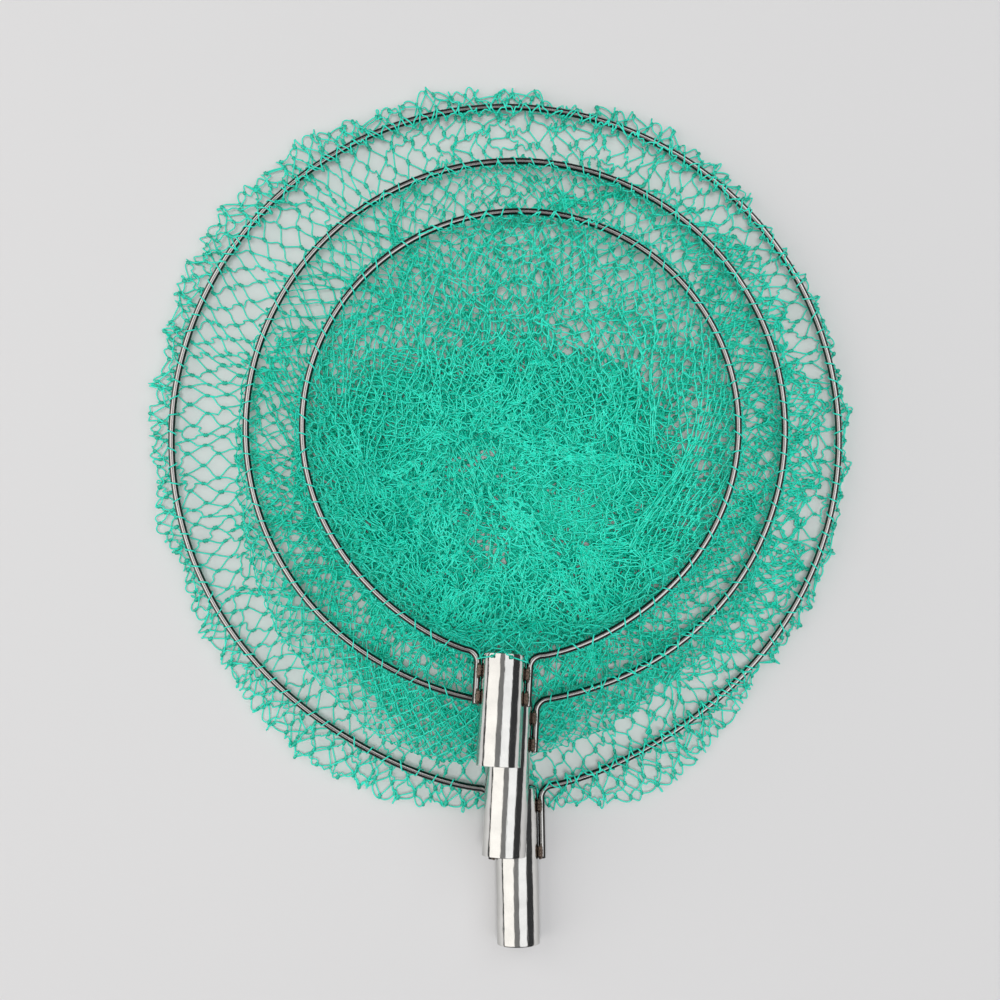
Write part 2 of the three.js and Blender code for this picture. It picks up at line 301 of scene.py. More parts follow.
def axes(head):
    """The head's own X, Y and Z directions as rows."""
    turn, tilt = math.radians(head["turn"]), -math.atan(head["slope"])
    x = np.array([math.cos(turn), math.sin(turn), 0.0])
    y = np.array([-math.sin(turn) * math.cos(tilt), math.cos(turn) * math.cos(tilt), math.sin(tilt)])
    return np.stack([x, y, np.cross(x, y)])


def to_world(head, points):
    origin = np.array([*head["centre"], head["height"]])
    return np.asarray(points, float) @ axes(head) + origin


def to_head(head, points):
    origin = np.array([*head["centre"], head["height"]])
    return (points - origin) @ axes(head).T


# ---- meshes from arrays ----

def make_mesh(name, points, quads, triangles=None, first_part=None):
    """A mesh whose faces past the first part, a count of quads, take the second material."""
    triangles = np.zeros((0, 3), np.int64) if triangles is None else triangles
    mesh = bpy.data.meshes.new(name)
    mesh.vertices.add(len(points))
    mesh.vertices.foreach_set("co", (np.asarray(points) * MM).astype(np.float32).ravel())
    corners = np.concatenate([quads.ravel(), triangles.ravel()]).astype(np.int32)
    counts = np.concatenate([np.full(len(quads), 4), np.full(len(triangles), 3)])
    starts = np.concatenate([[0], np.cumsum(counts)[:-1]])
    mesh.loops.add(len(corners))
    mesh.loops.foreach_set("vertex_index", corners)
    mesh.polygons.add(len(counts))
    mesh.polygons.foreach_set("loop_start", starts.astype(np.int32))
    mesh.polygons.foreach_set("use_smooth", np.ones(len(counts), bool))
    if first_part is not None:
        mesh.polygons.foreach_set("material_index", (np.arange(len(counts)) >= first_part).astype(np.int32))
    mesh.update(calc_edges=True)
    mesh.validate()
    piece = bpy.data.objects.new(name, mesh)
    bpy.context.scene.collection.objects.link(piece)
    return piece


def unit(v):
    return v / np.maximum(np.linalg.norm(v, axis=-1, keepdims=True), TINY)


def round_quads(rings, sides):
    """Quads between neighbouring rings of as many points as sides."""
    ring = np.arange(rings - 1)[:, None] * sides
    here = ring + np.arange(sides)[None, :]
    right = ring + (np.arange(sides)[None, :] + 1) % sides
    return np.stack([here, right, right + sides, here + sides], -1).reshape(-1, 4)


def end_fans(rings, sides):
    """Triangles that close the first and last rings to two points after them."""
    edge, last = np.arange(sides), (rings - 1) * sides
    beside = (edge + 1) % sides
    near = np.stack([np.full(sides, rings * sides), beside, edge], -1)
    far = np.stack([np.full(sides, rings * sides + 1), last + edge, last + beside], -1)
    return np.concatenate([near, far])


def tubes(paths, normals, radius, sides):
    """Open round tubes along paths (tube, step, xyz). Each has a direction that its path never follows."""
    count, steps, _ = paths.shape
    along = unit(np.gradient(paths, axis=1))
    side = unit(normals[:, None, :] - (along * normals[:, None, :]).sum(-1, keepdims=True) * along)
    other = np.cross(along, side)
    turn = 2 * np.pi * np.arange(sides) / sides
    ring = np.cos(turn)[:, None] * side[:, :, None, :] + np.sin(turn)[:, None] * other[:, :, None, :]
    points = (paths[:, :, None, :] + radius * ring).reshape(-1, 3)
    starts = (np.arange(count) * steps * sides)[:, None, None]
    return points, (round_quads(steps, sides)[None] + starts).reshape(-1, 4)


def closed_tube(path, radius, sides, up):
    """One round bar along a path, with rounded ends."""
    path = np.asarray(path, float)
    first, last = unit(path[0] - path[1]), unit(path[-1] - path[-2])
    body = tubes(path[None], np.asarray(up, float)[None], radius, sides)[0].reshape(len(path), sides, 3)

    def cap(end, ring, outward):
        reach = outward * radius * CAP_REACH
        return [end + reach * c + (ring - end) * math.sqrt(1 - c * c) for c in CAP_STATIONS]

    rings = np.concatenate([cap(path[0], body[0], first)[::-1], body, cap(path[-1], body[-1], last)])
    tips = [path[0] + first * radius * CAP_REACH, path[-1] + last * radius * CAP_REACH]
    points = np.concatenate([rings.reshape(-1, 3), tips])
    return points, round_quads(len(rings), sides), end_fans(len(rings), sides)


# ---- steel ----

def bend_at(head, side):
    tail = head["shift"] * side + TAIL_OFFSET
    across = tail + BEND_RADIUS
    reach = float(outline(head, math.asin(across / hoop_radius(head)))) + BEND_RADIUS
    centre_y = -math.sqrt(reach ** 2 - across ** 2)
    return tail, across, centre_y, math.asin(across / reach)


def tail_points(head, side):
    tail, across, centre_y, angle = bend_at(head, side)
    end = crossing_y(head) - head["tail"]
    straight = [(tail, y) for y in np.linspace(end + CAP_REACH * WIRE_RADIUS, centre_y, BEND_STEPS)[:-1]]
    turns = np.linspace(math.pi, math.pi / 2 + angle, BEND_STEPS)
    bend = [(across + BEND_RADIUS * math.cos(a), centre_y + BEND_RADIUS * math.sin(a)) for a in turns]
    return [(x * side, y) for x, y in straight + bend]


def wire_path(head):
    right, left = tail_points(head, 1), tail_points(head, -1)[::-1]
    start, end = bend_at(head, 1)[3], 2 * math.pi - bend_at(head, -1)[3]
    around = np.linspace(start, end, HOOP_STEPS)[1:-1]
    radius = outline(head, around)
    hoop = list(zip(radius * np.sin(around), -radius * np.cos(around)))
    flat = np.array(right + hoop + left)
    return to_world(head, np.column_stack([flat, np.zeros(len(flat))]))


def build_hoop(head, material):
    points, quads, ends = closed_tube(wire_path(head), WIRE_RADIUS, WIRE_SIDES, axes(head)[2])
    hoop = make_mesh(head["name"] + "_steel_hoop", points, quads, ends)
    dress(hoop, head, material, "polished_steel", head["name"] + "_hoop")


def build_socket(head, material):
    """A tube with its ends faced off and their edges eased."""
    bore = SOCKET_RADIUS - SOCKET_WALL
    top = socket_inner_y(head)
    bottom = top - head["socket"]
    length = np.linspace(bottom + TUBE_MARGIN, top - TUBE_MARGIN, TUBE_STEPS)
    edge = [(0, SOCKET_EASE), (EASE_MIDDLE, EASE_MIDDLE), (SOCKET_EASE, 0)]
    outer = [(bottom + y, SOCKET_RADIUS - r) for y, r in edge]
    outer += [(y, SOCKET_RADIUS) for y in length]
    outer += [(top - y, SOCKET_RADIUS - r) for y, r in edge[::-1]]
    inner = [(top, bore + SOCKET_EASE), (top - SOCKET_EASE, bore)] + [(y, bore) for y in length[::-1]]
    inner += [(bottom + SOCKET_EASE, bore), (bottom, bore + SOCKET_EASE)]
    profile = np.array(outer + inner)
    turn = 2 * np.pi * np.arange(TUBE_SIDES) / TUBE_SIDES
    x = head["shift"] + profile[:, 1, None] * np.cos(turn)
    z = profile[:, 1, None] * np.sin(turn)
    y = np.repeat(profile[:, 0, None], TUBE_SIDES, 1)
    points = to_world(head, np.stack([x, y, z], -1).reshape(-1, 3))
    here = np.arange(len(profile))[:, None] * TUBE_SIDES + np.arange(TUBE_SIDES)[None, :]
    beside = np.roll(here, -1, axis=1)
    quads = np.stack([here, np.roll(here, -1, axis=0), np.roll(beside, -1, axis=0), beside], -1)
    socket = make_mesh(head["name"] + "_steel_socket", points, quads.reshape(-1, 4))
    socket.data.set_sharp_from_angle(angle=math.radians(SHARP_ANGLE))
    dress(socket, head, material, "polished_steel", head["name"] + "_socket")


def build_welds(head, material):
    """Rippled beads, one over each of the CAD's plain ones."""
    along = np.linspace(WELD_END, 1 - WELD_END, WELD_STEPS)
    waves = np.abs(np.sin(math.pi * WELD_RIPPLES * along)) ** WELD_RIPPLE_POWER
    fat = (1 - np.abs(2 * along - 1) ** 3) ** 0.5 * (1 - WELD_RIPPLE_DEPTH * waves)
    turn = 2 * np.pi * np.arange(WELD_SIDES) / WELD_SIDES
    for node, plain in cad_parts.items():
        if not node.startswith(head["name"] + "_weld_"):
            continue
        corners = np.array([plain.matrix_world @ v.co for v in plain.data.vertices]) / MM
        corners = to_head(head, corners)
        middle, half = (corners.max(0) + corners.min(0)) / 2, (corners.max(0) - corners.min(0)) / 2
        x = middle[0] + half[0] * fat[:, None] * np.cos(turn)
        z = middle[2] + half[2] * fat[:, None] * np.sin(turn)
        y = middle[1] + half[1] * (2 * along[:, None] - 1) + WELD_SWAY * np.sin(turn) + 0 * x
        tips = [middle - [0, half[1], 0], middle + [0, half[1], 0]]
        points = np.concatenate([np.stack([x, y, z], -1).reshape(-1, 3), tips])
        quads = round_quads(WELD_STEPS, WELD_SIDES)[:, [0, 3, 2, 1]]
        fans = end_fans(WELD_STEPS, WELD_SIDES)[:, [0, 2, 1]]
        bead = make_mesh(node + "_bead", to_world(head, points), quads, fans)
        dress(bead, head, material, "weld_steel", node)


def dress(piece, head, material, slot, *nodes):
    piece.data.materials.append(material)
    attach(piece, head["name"] + "_head")
    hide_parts(*nodes)


# ---- netting: where its knots lie ----

def wander(angle, seed, low, high):
    """A smooth closed wave round a ring, about one unit high."""
    rng = np.random.default_rng(seed)
    waves = np.arange(low, high + 1)
    size = waves ** -WANDER_FADE
    size /= np.sqrt((size ** 2).sum() / 2)
    phase = rng.uniform(0, 2 * np.pi, len(waves))
    return (size * np.cos(angle[..., None] * waves + phase)).sum(-1)


def lobed(angle, lobes):
    total = np.zeros_like(angle)
    for towards, spread, reach in lobes:
        off = angle - math.radians(towards)
        away = np.arctan2(np.sin(off), np.cos(off)) / math.radians(spread)
        total += reach * np.exp(-away * away)
    return total


def ring_places(head, ring, angle, seed):
    low, high = ring.get("waves", WANDER_WAVES)
    radius = ring["radius"] + lobed(angle, ring.get("lobes", []))
    share, towards = ring.get("flat", (1.0, 0.0))
    towards = math.radians(towards)
    pressed = (1 - share) * radius * np.cos(angle - towards)
    x = ring["centre"][0] + radius * np.cos(angle) - pressed * math.cos(towards)
    y = ring["centre"][1] + radius * np.sin(angle) - pressed * math.sin(towards)
    x = x + ring["wander"] * wander(angle, seed + 1, low, high)
    y = y + ring["wander"] * wander(angle, seed + 2, low, high)
    top = plane_height(head, x, y) - WIRE_RADIUS
    z = ring["height"] + ring.get("climb", 0.0) * np.maximum(top - ring["height"], 0) + 0 * x
    return np.stack([x, y, z], -1)


def mouth_side(head, angle):
    """1 where the mouth's knots lie outside the wire, -1 where they lie inside and the netting crosses it."""
    inside = np.zeros_like(angle)
    for towards, half in head["over"]:
        off = angle - math.radians(towards)
        away = np.abs(np.degrees(np.arctan2(np.sin(off), np.cos(off))))
        inside = np.maximum(inside, np.clip((half + SIDE_CHANGE / 2 - away) / SIDE_CHANGE, 0, 1))
    return 1 - 2 * inside


def own_angle(head, angle):
    """An angle on the table as outline() counts it."""
    return angle - math.radians(head["turn"]) + math.pi / 2


def mouth_places(head, angle):
    """Knots of the first row, beside the wire and a little below it."""
    own = own_angle(head, angle)
    side = mouth_side(head, angle)
    radius = outline(head, own) + MOUTH_ASIDE * side
    drop = MOUTH_DROP + CROSSING_LIFT * (side < 0)
    x, y = radius * np.sin(own), -radius * np.cos(own)
    if head is HEADS[-1]:
        across = x - head["shift"]
        over = (np.abs(across) < SOCKET_RADIUS + COLLAR_SIDE) & (y < 0)
        lift = np.sqrt(np.maximum((SOCKET_RADIUS + COLLAR_LIFT) ** 2 - across ** 2, 0))
        y = np.where(over, socket_inner_y(head) - COLLAR_INSET, y)
        drop = np.where(over, lift, drop)
    return to_world(head, np.stack([x, y, drop + 0 * own], -1))


def knot_grid(head):
    """Places of the knots (row, mesh, xyz), from the bag's path, and the row of the spill's edge at each."""
    rows, meshes = head["rows"], head["meshes"]
    grid = np.zeros((rows + 1, meshes, 3))
    folds = np.zeros((rows + 1, meshes))
    for row in range(rows + 1):
        angle = 2 * np.pi * (np.arange(meshes) + 0.5 * (row % 2)) / meshes
        stops = [mouth_places(head, angle)]
        for i, ring in enumerate(head["rings"]):
            stops.append(ring_places(head, ring, angle, head["seed"] + RING_SEEDS * i))
        stops = np.stack(stops)
        legs = np.linalg.norm(np.diff(stops, axis=0), axis=-1)
        reach = np.concatenate([np.zeros((1, meshes)), np.cumsum(legs, axis=0)])
        fold = folds[row] = fold_row(head, reach[1])
        beyond = reach[1] + (reach[-1] - reach[1]) * (row - fold) / (rows - fold)
        want = np.where(row < fold, reach[1] * row / fold, beyond)
        leg = np.clip((reach[1:] < want).sum(0), 0, len(legs) - 1)
        each = np.arange(meshes)
        share = ((want - reach[leg, each]) / np.maximum(legs[leg, each], TINY))[:, None]
        grid[row] = stops[leg, each] * (1 - share) + stops[leg + 1, each] * share
    rng = np.random.default_rng(head["seed"])
    grid[1:, :, :2] += rng.normal(0, head["jitter"], grid[1:, :, :2].shape)
    rise = np.clip(np.arange(1, rows + 1) / RIPPLE_ROWS, RIPPLE_START, 1)[:, None, None]
    grid[1:, :, :2] += RIPPLE_SIZE * head["jitter"] * rise * ripples(rows, meshes, rng)[1:]
    return grid, folds


def fold_row(head, reach):
    """Rows from the wire to the spill's edge, half a row past a knot, so that the edge is of round bights."""
    return np.maximum(np.round(reach / (FOLD_SHARE * head["bar"]) - FOLD_EARLY), 1) + 0.5


def ripples(rows, meshes, rng):
    """Smooth unevenness a few meshes across, (row, mesh, xy), that closes round the bag."""
    angle = 2 * np.pi * np.arange(meshes) / meshes
    total = np.zeros((rows + 1, meshes, 2))
    for axis in range(2):
        for _ in range(RIPPLE_COUNT):
            wave = rng.integers(*RIPPLE_WAVES) * angle[None, :]
            wave = wave + rng.uniform(-RIPPLE_DRIFT, RIPPLE_DRIFT) * np.arange(rows + 1)[:, None]
            total[..., axis] += np.cos(wave + rng.uniform(0, 2 * np.pi)) / math.sqrt(RIPPLE_COUNT / 2)
    return total


def bar_rows(head):
    """Groups of (upper rows, shift of the lower mesh) in which a knot has at most one bar up or down."""
    even, odd = np.arange(0, head["rows"], 2), np.arange(1, head["rows"], 2)
    return [(even, 0), (even, 1), (odd, 0), (odd, -1)]


def settle(head, grid):
    """Draws together knots further apart than a bar is long, and keeps those of a row from crowding."""
    bar = head["bar"] * SETTLE_LENGTH
    for _ in range(SETTLE_TURNS):
        for upper, shift in bar_rows(head):
            a, b = grid[upper], np.roll(grid[upper + 1], shift, axis=1)
            gap = b - a
            length = np.linalg.norm(gap, axis=-1, keepdims=True)
            pull = gap * np.maximum(1 - bar / np.maximum(length, TINY), 0)
            held = (upper > 0)[:, None, None]
            grid[upper] = a + 0.5 * pull * held
            grid[upper + 1] = np.roll(b - pull * np.where(held, 0.5, 1.0), -shift, axis=1)
        beside = np.roll(grid, -1, axis=1) - grid
        width = np.linalg.norm(beside, axis=-1, keepdims=True)
        short = np.maximum(NARROWEST_MESH * head["bar"] / np.maximum(width, TINY) - 1, 0)
        push = SETTLE_PUSH * beside * short
        push[0] = 0
        push[-GATHERED_ROWS:] = 0
        grid -= push
        grid += np.roll(push, 1, axis=1)
        keep_off_socket(head, grid)
    return grid


def keep_off_socket(head, grid):
    """Netting at the table's level goes round the lowest socket, which lies on the table."""
    low = HEADS[0]
    if head is not low:
        return
    place = to_head(low, grid)
    across = place[..., 0] - low["shift"]
    room = SOCKET_RADIUS + SOCKET_ROOM
    inside = (place[..., 1] < socket_inner_y(low) + SOCKET_ROOM_END) & (np.abs(across) < room)
    inside[0] = False
    grid[..., 0] += np.where(inside, np.sign(across) * (room - np.abs(across)), 0) / 2


# ---- netting: its twine ----

def bars_of(head, grid, folds):
    """Ends of every bar, the way the twine leaves its two knots and its row, and every knot's direction."""
    up = np.zeros_like(grid)
    down = np.zeros_like(grid)
    for row in range(head["rows"] + 1):
        shift = 1 if row % 2 == 0 else -1
        if row > 0:
            up[row] = 0.5 * (grid[row - 1] + np.roll(grid[row - 1], shift, axis=0))
        if row < head["rows"]:
            down[row] = 0.5 * (grid[row + 1] + np.roll(grid[row + 1], shift, axis=0))
    up[0] = grid[0] + (grid[0] - down[0])
    down[-1] = grid[-1] + (grid[-1] - up[-1])
    row = np.arange(head["rows"] + 1)[:, None]
    before, after = (row == folds - 0.5)[..., None], (row == folds + 0.5)[..., None]
    axis = unit(unit(grid - up) * ~after + unit(down - grid) * ~before + AXIS_NUDGE)
    found = []
    for upper, shift in bar_rows(head):
        a, b = grid[upper], np.roll(grid[upper + 1], shift, axis=1)
        ta, tb = axis[upper], np.roll(axis[upper + 1], shift, axis=1)
        row = np.repeat(upper[:, None], a.shape[1], 1)
        found.append((a, b, ta, tb, row))
    return [np.concatenate([f[i].reshape(-1, *f[i].shape[2:]) for f in found]) for i in range(5)], axis


def hermite(a, b, ta, tb, size, t):
    """Points of curves from a to b that leave along ta and arrive along tb."""
    t = t[None, :, None]
    a, b, ta, tb = (v[:, None, :] for v in (a, b, ta * size[:, None], tb * size[:, None]))
    h1, h2 = 2 * t ** 3 - 3 * t ** 2 + 1, t ** 3 - 2 * t ** 2 + t
    return h1 * a + h2 * ta + (1 - h1) * b + (t ** 3 - t ** 2) * tb


def bowed(a, b, ta, tb, length):
    """Twine of a set length between knots: where the knots lie closer than that, it bows."""
    low, high = (share * length for share in BOW_SIZES)
    t = np.linspace(0, 1, BOW_STEPS + 1)
    for _ in range(BOW_TRIES):
        size = 0.5 * (low + high)
        line = hermite(a, b, ta, tb, size, t)
        arc = np.linalg.norm(np.diff(line, axis=1), axis=-1).sum(1)
        short = arc < length
        low, high = np.where(short, size, low), np.where(short, high, size)
    return hermite(a, b, ta, tb, low, np.linspace(0, 1, TWINE_STEPS + 1))


def over_wire(head, points, reach):
    """Lifts twine that crosses the head's wire to lie over it."""
    place = to_head(head, points)
    line = outline(head, np.arctan2(place[..., 0], -place[..., 1]))
    out = np.hypot(place[..., 0], place[..., 1]) - line
    top = np.sqrt(np.maximum((WIRE_RADIUS + reach + TOUCH_GAP) ** 2 - out ** 2, 0))
    crosses = np.abs(out) < WIRE_RADIUS + reach
    place[..., 2] = np.where(crosses, np.maximum(place[..., 2], top), place[..., 2])
    return to_world(head, place)


def off_steel(points, reach):
    """Moves points of twine that would lie in a wire or a socket out to its surface."""
    for head in HEADS:
        place = to_head(head, points)
        angle = np.arctan2(place[..., 0], -place[..., 1])
        line = outline(head, angle)
        radius = np.hypot(place[..., 0], place[..., 1])
        out, rise = radius - line, place[..., 2]
        away = np.maximum(np.hypot(out, rise), TINY)
        near = away < WIRE_RADIUS + reach
        push = np.where(near, (WIRE_RADIUS + reach) / away - 1, 0)
        grow = 1 + push * out / np.maximum(radius, 1)
        place[..., 0] *= grow
        place[..., 1] *= grow
        place[..., 2] += push * rise
        across, rise = place[..., 0] - head["shift"], place[..., 2]
        away = np.maximum(np.hypot(across, rise), TINY)
        top = socket_inner_y(head)
        near = (away < SOCKET_RADIUS + reach) & (place[..., 1] < top) & (place[..., 1] > top - head["socket"])
        push = np.where(near, (SOCKET_RADIUS + reach) / away - 1, 0)
        place[..., 0] += push * across
        place[..., 2] += push * rise
        points = to_world(head, place)
    points[..., 2] = np.maximum(points[..., 2], reach + TOUCH_GAP)
    return points


def knot_shape():
    """A small lumpy knot along +X, of unit length: (points, quads, triangles)."""
    along = np.linspace(KNOT_END, 1 - KNOT_END, KNOT_ALONG)
    lump = 1 + KNOT_LUMP_HEIGHT * np.cos(KNOT_LUMPS * 2 * np.pi * along)
    radius = (KNOT_GIRTH * np.sin(np.pi * along) ** KNOT_TAPER * lump)[:, None]
    turn = 2 * np.pi * np.arange(KNOT_ROUND) / KNOT_ROUND
    twist = turn[None, :] + KNOT_TWIST * np.arange(KNOT_ALONG)[:, None]
    x = np.repeat(along[:, None] - 0.5, KNOT_ROUND, 1)
    rings = np.stack([x, radius * np.cos(twist), radius * np.sin(twist) * KNOT_FLATNESS], -1)
    points = np.concatenate([rings.reshape(-1, 3), [[-0.5, 0, 0], [0.5, 0, 0]]])
    return points, round_quads(KNOT_ALONG, KNOT_ROUND), end_fans(KNOT_ALONG, KNOT_ROUND)


def knots_at(places, directions, length, rng):
    """Copies of the knot at places, each turned its own way about its own direction."""
    points, quads, triangles = knot_shape()
    side = unit(np.cross(directions, rng.normal(0, 1, directions.shape)))
    other = np.cross(directions, side)
    size = length * rng.uniform(*KNOT_SIZES, len(places))[:, None, None]
    frame_of = np.stack([directions, side, other], 1)
    made = places[:, None, :] + size * (points[None] @ frame_of)
    step = (np.arange(len(places)) * len(points))[:, None, None]
    return made.reshape(-1, 3), (quads[None] + step).reshape(-1, 4), (triangles[None] + step).reshape(-1, 3)


def mouth_loops(head, grid, rng):
    """Twine that ties each pair of first-row knots round the wire."""
    meshes = head["meshes"]
    middle = 2 * np.pi * (np.arange(meshes) + 0.5) / meshes
    own = own_angle(head, middle)
    side = mouth_side(head, middle)
    ahead = np.where(rng.random(meshes) < LOOPS_AHEAD, 1.0, -1.0)
    slant = ahead * rng.uniform(*LOOP_SLANTS, meshes)
    turn = np.linspace(0, 1, WRAP_STEPS)[None, :]
    psi = math.radians(LOOP_START) + turn * math.radians(LOOP_TURN)
    psi = np.where(side[:, None] > 0, psi, np.pi - psi)
    reach = WIRE_RADIUS + head["twine"] / 2 + TOUCH_GAP
    shift = slant[:, None] * (turn - 0.5) * 2
    angle = own[:, None] + shift / hoop_radius(head)
    radius = outline(head, angle) + reach * np.cos(psi)
    wrap = np.stack([radius * np.sin(angle), -radius * np.cos(angle), reach * np.sin(psi)], -1)
    a, b = grid[0], np.roll(grid[0], -1, axis=0)
    a, b = np.where(ahead[:, None] > 0, a, b), np.where(ahead[:, None] > 0, b, a)
    rough = np.concatenate([a[:, None], to_world(head, wrap), b[:, None]], axis=1)
    from_socket = np.abs(np.arctan2(np.sin(own), np.cos(own))) * hoop_radius(head)
    free = from_socket > TAIL_OFFSET + BEND_RADIUS + abs(head["shift"])
    return smooth(rough[free], LOOP_STEPS + 1)


def smooth(rough, count):
    """Evenly spaced points of a curve through given points."""
    before = 2 * rough[:, :1] - rough[:, 1:2]
    after = 2 * rough[:, -1:] - rough[:, -2:-1]
    padded = np.concatenate([before, rough, after], axis=1)
    parts = []
    for i in range(rough.shape[1] - 1):
        p0, p1, p2, p3 = (padded[:, i + n][:, None, :] for n in range(4))
        t = np.linspace(0, 1, SPLINE_STEPS + 1)[:-1][None, :, None]
        parts.append(0.5 * (2 * p1 + (p2 - p0) * t + (2 * p0 - 5 * p1 + 4 * p2 - p3) * t ** 2
                            + (3 * p1 - p0 - 3 * p2 + p3) * t ** 3))
    fine = np.concatenate([*parts, rough[:, -1:]], axis=1)
    legs = np.linalg.norm(np.diff(fine, axis=1), axis=-1)
    reach = np.concatenate([np.zeros((len(fine), 1)), np.cumsum(legs, axis=1)], axis=1)
    made = np.zeros((len(fine), count, 3))
    for i in range(len(fine)):
        want = np.linspace(0, reach[i, -1], count)
        for axis in range(3):
            made[i, :, axis] = np.interp(want, reach[i], fine[i, :, axis])
    return made


def join(*parts):
    """Joins (points, quads, triangles) parts into one."""
    points, quads, triangles, start = [], [], [], 0
    for part in parts:
        points.append(part[0])
        quads.append(part[1] + start)
        if len(part) > 2:
            triangles.append(part[2] + start)
        start += len(part[0])
    return np.concatenate(points), np.concatenate(quads), np.concatenate(triangles) if triangles else None


def sector_of(head, places):
    """The sector of the bag, counted from +X round the head's middle, that each place is in."""
    angle = np.arctan2(places[..., 1] - head["centre"][1], places[..., 0] - head["centre"][0])
    return np.floor(angle % (2 * np.pi) / (2 * np.pi) * SECTORS).astype(int) % SECTORS


def hang(pieces):
    """Bakes each piece's placement into its mesh."""
    for sector, piece in enumerate(pieces):
        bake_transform(piece)


def twine_lines(head, grid, folds, rng):
    """Paths of the twine of all bars, a direction beside each, and the knots' directions."""
    (a, b, ta, tb, row), axis = bars_of(head, grid, folds)
    chord = unit(b - a)
    stray = rng.normal(0, STRAY, (2, len(a), 3))
    leave = unit(CHORD_SHARE * chord + (1 - CHORD_SHARE) * ta + stray[0])
    arrive = unit(CHORD_SHARE * chord + (1 - CHORD_SHARE) * tb + stray[1])
    length = head["bar"] * rng.uniform(*BAR_LENGTHS, len(a))
    length = np.maximum(length, np.linalg.norm(b - a, axis=1) * BAR_SLACK)
    around = np.arctan2(a[:, 1] - head["centre"][1], a[:, 0] - head["centre"][0])
    over = (row == 0) & (mouth_side(head, around) < 0)
    lines = bowed(a, b, leave, arrive, length)
    lines[over] = over_wire(head, lines[over], head["twine"] / 2)
    lines = off_steel(lines, head["twine"] / 2)
    return lines, unit(np.cross(leave, chord) + NORMAL_NUDGE), axis


def build_net(head, materials):
    """The netting in sectors and the loops round the wire. The materials are the twine's and the knots'."""
    rng = np.random.default_rng(head["seed"] + TWINE_SEED)
    grid, folds = knot_grid(head)
    grid = settle(head, grid)
    grid[1:] = off_steel(grid[1:], KNOT_REACH * head["knot"])
    lines, normals, axis = twine_lines(head, grid, folds, rng)
    places, directions = grid.reshape(-1, 3), axis.reshape(-1, 3)
    bar_sector = sector_of(head, lines.mean(1))
    knot_sector = sector_of(head, places)
    pieces = []
    for sector in range(SECTORS):
        mine, tied = bar_sector == sector, knot_sector == sector
        twine = tubes(lines[mine], normals[mine], head["twine"] / 2, TWINE_SIDES)
        knots = knots_at(places[tied], directions[tied], head["knot"], rng)
        name = f"{head['name']}_netting_{sector + 1}"
        piece = make_mesh(name, *join(twine, knots), first_part=len(twine[1]))
        for material in materials:
            piece.data.materials.append(material)
        pieces.append(piece)
    tie_to_wire(head, grid, rng, materials[0])
    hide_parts(head["name"] + "_bag")
    return pieces


def tie_to_wire(head, grid, rng, material):
    loops = mouth_loops(head, grid, rng)
    x, y, _ = axes(head)
    beside = np.tile(y * LOOP_SIDE[1] + x * LOOP_SIDE[0], (len(loops), 1))
    ties = make_mesh(head["name"] + "_mouth_loops", *tubes(loops, beside, head["twine"] / 2, TWINE_SIDES + 1))
    ties.data.materials.append(material)
    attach(ties, head["name"] + "_head")


# ---- materials ----
# Colours are linear. Grain is a noise's scale in waves a metre.

# Both steels darken their sides with painted shade, standing in for the dim room that the polished steel
# mirrors there.
BRIGHT_STEEL = {
    "colour": (0.90, 0.89, 0.86), "roughness": 0.11, "grain": 90.0, "bump": (1.0, 0.0001),
    "painted_side_shade": (0.6, 0.3, 0.62),
}
# The wires' steel is a shaded copy of the sockets': a little darker overall, with much more painted shade on
# its sides.
DARK_STEEL = {
    "colour": (0.82, 0.80, 0.78), "roughness": 0.18, "grain": 90.0, "bump": (0.4, 0.00005),
    "painted_side_shade": (0.1, 0.86, 0.975),
}
WELD_METAL = {"colour": (0.26, 0.19, 0.15), "roughness": 0.2, "grain": 500.0, "bump": (0.8, 0.0008)}
STEEL_DETAIL = 6.0
STEEL_SHADE = 0.86                  # of the colour, in its darker patches
STEEL_SPAN = (0.3, 0.7)
STEEL_GLOSS = (0.7, 1.4)            # of the roughness, from patch to patch
SCRATCH_FINENESS = 4
SCRATCH_STRETCH = (1.0, 0.2, 1.0)

TWINE_COLOURS = [(0.003, 0.77, 0.56), (0.025, 0.91, 0.69)]
KNOT_COLOURS = [(0.003, 0.50, 0.34), (0.01, 0.62, 0.44)]
TWINE_GRAIN = 60.0
TWINE_DETAIL = 3.0
TWINE_SPAN = (0.35, 0.65)
TWINE_ROUGHNESS = 0.36
TWINE_SHEEN = 1.0
STRAND_GRAIN = 2200.0
STRAND_BUMP = (0.35, 0.0002)

FLOOR_COLOURS = [(0.69, 0.69, 0.695), (0.715, 0.71, 0.715)]
FLOOR_GRAIN = 2.0
FLOOR_DETAIL = 2.0
FLOOR_ROUGHNESS = 0.8
FLOOR_FADE = (0.7, 1.9)             # metres from the middle


def new_material(name):
    material = bpy.data.materials.new(name)
    material.use_nodes = True
    nodes, links = material.node_tree.nodes, material.node_tree.links
    place = nodes.new("ShaderNodeTexCoord").outputs["Object"]
    return material, nodes, links, nodes["Principled BSDF"], place


def add_noise(nodes, links, place, grain, detail=2.0):
    noise = nodes.new("ShaderNodeTexNoise")
    noise.inputs["Scale"].default_value = grain
    noise.inputs["Detail"].default_value = detail
    links.new(place, noise.inputs["Vector"])
    return noise.outputs["Fac"]


def add_shade(nodes, links, level, span, colours):
    """A colour that runs from the first to the second as a level crosses a span."""
    shade = nodes.new("ShaderNodeValToRGB")
    for element, position, colour in zip(shade.color_ramp.elements, span, colours):
        element.position = position
        element.color = (*colour, 1)
    links.new(level, shade.inputs["Fac"])
    return shade.outputs["Color"]


